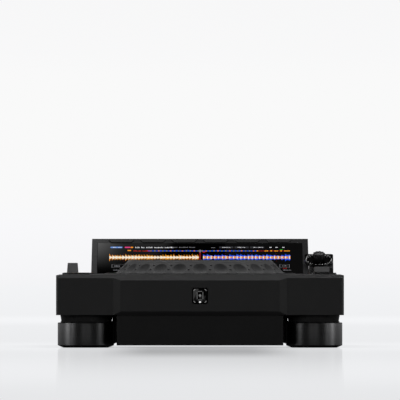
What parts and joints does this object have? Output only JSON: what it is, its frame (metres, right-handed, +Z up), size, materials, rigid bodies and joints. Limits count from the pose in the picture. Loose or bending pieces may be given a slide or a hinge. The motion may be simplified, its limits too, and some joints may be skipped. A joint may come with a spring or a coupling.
{
  "type": "tabletop dj media player",
  "caption": "Flat table-top media player on round feet, with a jog wheel, a sloping touch display, a tempo fader and rows of spring keys.",
  "frame": {"origin": "middle of the bottom of the whole box, on the table", "axes": "+X to the right as the user faces it, +Y to the back, +Z up"},
  "size_m": [0.329, 0.454, 0.1245],
  "materials": {
    "case_black": "fine moulded texture, matte black",
    "tub_black": "fine moulded texture, matte black",
    "foot_metal": "turned, dark satin anodised",
    "rubber_black": "plain black rubber",
    "zinc_steel": "zinc plated",
    "housing_grey": "satin dark grey",
    "screen_glass": "gloss black cover glass over a lit display",
    "gloss_black": "polished black",
    "jog_grey": "satin dark grey",
    "plate_black": "spun metal, black anodised",
    "key_black": "matte black keys with lit rings",
    "knob_black": "satin black",
    "board_green": "circuit board",
    "can_steel": "folded sheet",
    "panel_black": "black painted steel",
    "socket_gold": "gold plated",
    "socket_steel": "plated sheet"
  },
  "bodies": {
    "root": {"top_case": "case_black", "lower_case": "tub_black", "rear_panel": "panel_black", "front_badge": "gloss_black", "foot_collars": "tub_black", "feet": "foot_metal", "foot_pads": "rubber_black", "screws": "zinc_steel", "display_housing": "housing_grey", "display_glass": "screen_glass", "display_panel": "can_steel", "browse_stand": "housing_grey", "browse_ring": "gloss_black", "jog_spindle": "can_steel", "jog_bearing": "zinc_steel", "jog_display": "screen_glass", "fader_plate": "gloss_black", "fader_body": "can_steel", "key_boards": "board_green", "main_board": "board_green", "power_supply": "can_steel", "usb_socket": "socket_steel", "power_inlet": "gloss_black", "phono_jacks": "socket_gold", "network_jack": "socket_steel"},
    "jog": {"jog_wheel": "jog_grey", "jog_plate": "plate_black", "encoder_disc": "zinc_steel"},
    "browse_push": {"browse_shaft": "zinc_steel"},
    "browse_turn": {"browse_knob": "knob_black"},
    "play_button_body": {"play_button": "key_black"},
    "cue_button_body": {"cue_button": "key_black"},
    "track_back_key_body": {"track_back_key": "key_black"},
    "track_forward_key_body": {"track_forward_key": "key_black"},
    "search_back_key_body": {"search_back_key": "key_black"},
    "search_forward_key_body": {"search_forward_key": "key_black"},
    "loop_in_key_body": {"loop_in_key": "key_black"},
    "loop_out_key_body": {"loop_out_key": "key_black"},
    "reloop_key_body": {"reloop_key": "key_black"},
    "sync_key_body": {"sync_key": "key_black"},
    "master_key_body": {"master_key": "key_black"},
    "hot_cue_1_body": {"hot_cue_1": "key_black"},
    "hot_cue_2_body": {"hot_cue_2": "key_black"},
    "hot_cue_3_body": {"hot_cue_3": "key_black"},
    "hot_cue_4_body": {"hot_cue_4": "key_black"},
    "hot_cue_5_body": {"hot_cue_5": "key_black"},
    "hot_cue_6_body": {"hot_cue_6": "key_black"},
    "hot_cue_7_body": {"hot_cue_7": "key_black"},
    "hot_cue_8_body": {"hot_cue_8": "key_black"},
    "menu_key_1_body": {"menu_key_1": "key_black"},
    "menu_key_2_body": {"menu_key_2": "key_black"},
    "menu_key_3_body": {"menu_key_3": "key_black"},
    "menu_key_4_body": {"menu_key_4": "key_black"},
    "menu_key_5_body": {"menu_key_5": "key_black"},
    "menu_key_6_body": {"menu_key_6": "key_black"},
    "power_button_body": {"power_button": "key_black"},
    "lever_body": {"direction_lever": "jog_grey"},
    "jog_adjust_knob_body": {"jog_adjust_knob": "knob_black"},
    "vinyl_speed_knob_body": {"vinyl_speed_knob": "knob_black"},
    "tempo_body": {"tempo_slider": "jog_grey"}
  },
  "joints": [
    {"name": "jog_spin", "type": "hinge", "parent": "root", "child": "jog", "pos_m": [0, -0.094, 0.084], "axis": [0, 0, 1], "continuous": true},
    {"name": "play_button_press", "type": "slide", "parent": "root", "child": "play_button_body", "axis": [0, 0, -1], "range_m": [0, 0.0012], "stiffness_N_per_m": 400, "springref_m": -0.0005},
    {"name": "cue_button_press", "type": "slide", "parent": "root", "child": "cue_button_body", "axis": [0, 0, -1], "range_m": [0, 0.0012], "stiffness_N_per_m": 400, "springref_m": -0.0005},
    {"name": "track_back_key_press", "type": "slide", "parent": "root", "child": "track_back_key_body", "axis": [0, 0, -1], "range_m": [0, 0.0012], "stiffness_N_per_m": 200, "springref_m": -0.0004},
    {"name": "track_forward_key_press", "type": "slide", "parent": "root", "child": "track_forward_key_body", "axis": [0, 0, -1], "range_m": [0, 0.0012], "stiffness_N_per_m": 200, "springref_m": -0.0004},
    {"name": "search_back_key_press", "type": "slide", "parent": "root", "child": "search_back_key_body", "axis": [0, 0, -1], "range_m": [0, 0.0012], "stiffness_N_per_m": 200, "springref_m": -0.0004},
    {"name": "search_forward_key_press", "type": "slide", "parent": "root", "child": "search_forward_key_body", "axis": [0, 0, -1], "range_m": [0, 0.0012], "stiffness_N_per_m": 200, "springref_m": -0.0004},
    {"name": "loop_in_key_press", "type": "slide", "parent": "root", "child": "loop_in_key_body", "axis": [0, 0, -1], "range_m": [0, 0.0012], "stiffness_N_per_m": 200, "springref_m": -0.0004},
    {"name": "loop_out_key_press", "type": "slide", "parent": "root", "child": "loop_out_key_body", "axis": [0, 0, -1], "range_m": [0, 0.0012], "stiffness_N_per_m": 200, "springref_m": -0.0004},
    {"name": "reloop_key_press", "type": "slide", "parent": "root", "child": "reloop_key_body", "axis": [0, 0, -1], "range_m": [0, 0.0012], "stiffness_N_per_m": 200, "springref_m": -0.0004},
    {"name": "sync_key_press", "type": "slide", "parent": "root", "child": "sync_key_body", "axis": [0, 0, -1], "range_m": [0, 0.0012], "stiffness_N_per_m": 200, "springref_m": -0.0004},
    {"name": "master_key_press", "type": "slide", "parent": "root", "child": "master_key_body", "axis": [0, 0, -1], "range_m": [0, 0.0012], "stiffness_N_per_m": 200, "springref_m": -0.0004},
    {"name": "hot_cue_1_press", "type": "slide", "parent": "root", "child": "hot_cue_1_body", "axis": [0, 0, -1], "range_m": [0, 0.0012], "stiffness_N_per_m": 200, "springref_m": -0.0004},
    {"name": "hot_cue_2_press", "type": "slide", "parent": "root", "child": "hot_cue_2_body", "axis": [0, 0, -1], "range_m": [0, 0.0012], "stiffness_N_per_m": 200, "springref_m": -0.0004},
    {"name": "hot_cue_3_press", "type": "slide", "parent": "root", "child": "hot_cue_3_body", "axis": [0, 0, -1], "range_m": [0, 0.0012], "stiffness_N_per_m": 200, "springref_m": -0.0004},
    {"name": "hot_cue_4_press", "type": "slide", "parent": "root", "child": "hot_cue_4_body", "axis": [0, 0, -1], "range_m": [0, 0.0012], "stiffness_N_per_m": 200, "springref_m": -0.0004},
    {"name": "hot_cue_5_press", "type": "slide", "parent": "root", "child": "hot_cue_5_body", "axis": [0, 0, -1], "range_m": [0, 0.0012], "stiffness_N_per_m": 200, "springref_m": -0.0004},
    {"name": "hot_cue_6_press", "type": "slide", "parent": "root", "child": "hot_cue_6_body", "axis": [0, 0, -1], "range_m": [0, 0.0012], "stiffness_N_per_m": 200, "springref_m": -0.0004},
    {"name": "hot_cue_7_press", "type": "slide", "parent": "root", "child": "hot_cue_7_body", "axis": [0, 0, -1], "range_m": [0, 0.0012], "stiffness_N_per_m": 200, "springref_m": -0.0004},
    {"name": "hot_cue_8_press", "type": "slide", "parent": "root", "child": "hot_cue_8_body", "axis": [0, 0, -1], "range_m": [0, 0.0012], "stiffness_N_per_m": 200, "springref_m": -0.0004},
    {"name": "menu_key_1_press", "type": "slide", "parent": "root", "child": "menu_key_1_body", "axis": [0, 0.2317, -0.9728], "range_m": [0, 0.0006], "stiffness_N_per_m": 200, "springref_m": -0.0004},
    {"name": "menu_key_2_press", "type": "slide", "parent": "root", "child": "menu_key_2_body", "axis": [0, 0.2317, -0.9728], "range_m": [0, 0.0006], "stiffness_N_per_m": 200, "springref_m": -0.0004},
    {"name": "menu_key_3_press", "type": "slide", "parent": "root", "child": "menu_key_3_body", "axis": [0, 0.2317, -0.9728], "range_m": [0, 0.0006], "stiffness_N_per_m": 200, "springref_m": -0.0004},
    {"name": "menu_key_4_press", "type": "slide", "parent": "root", "child": "menu_key_4_body", "axis": [0, 0.2317, -0.9728], "range_m": [0, 0.0006], "stiffness_N_per_m": 200, "springref_m": -0.0004},
    {"name": "menu_key_5_press", "type": "slide", "parent": "root", "child": "menu_key_5_body", "axis": [0, 0.2317, -0.9728], "range_m": [0, 0.0006], "stiffness_N_per_m": 200, "springref_m": -0.0004},
    {"name": "menu_key_6_press", "type": "slide", "parent": "root", "child": "menu_key_6_body", "axis": [0, 0.2317, -0.9728], "range_m": [0, 0.0006], "stiffness_N_per_m": 200, "springref_m": -0.0004},
    {"name": "power_button_press", "type": "slide", "parent": "root", "child": "power_button_body", "axis": [0, -1, 0], "range_m": [0, 0.0025], "stiffness_N_per_m": 400, "springref_m": -0.0005},
    {"name": "browse_press", "type": "slide", "parent": "root", "child": "browse_push", "axis": [0, 0.3987, -0.9171], "range_m": [0, 0.0006], "stiffness_N_per_m": 400, "springref_m": -0.0005},
    {"name": "browse_spin", "type": "hinge", "parent": "browse_push", "child": "browse_turn", "pos_m": [0.1381, 0.068, 0.1005], "axis": [0, -0.3987, 0.9171], "continuous": true},
    {"name": "direction_tilt", "type": "hinge", "parent": "root", "child": "lever_body", "pos_m": [-0.1467, -0.067, 0.075], "axis": [1, 0, 0], "range_deg": [-10, 10]},
    {"name": "jog_adjust_knob_turn", "type": "hinge", "parent": "root", "child": "jog_adjust_knob_body", "pos_m": [0.133, -0.024, 0.084], "axis": [0, 0, 1], "range_deg": [-140, 140]},
    {"name": "vinyl_speed_knob_turn", "type": "hinge", "parent": "root", "child": "vinyl_speed_knob_body", "pos_m": [0.133, 0.001, 0.084], "axis": [0, 0, 1], "range_deg": [-140, 140]},
    {"name": "tempo_slide", "type": "slide", "parent": "root", "child": "tempo_body", "axis": [0, 1, 0], "range_m": [-0.05, 0.05]}
  ]
}
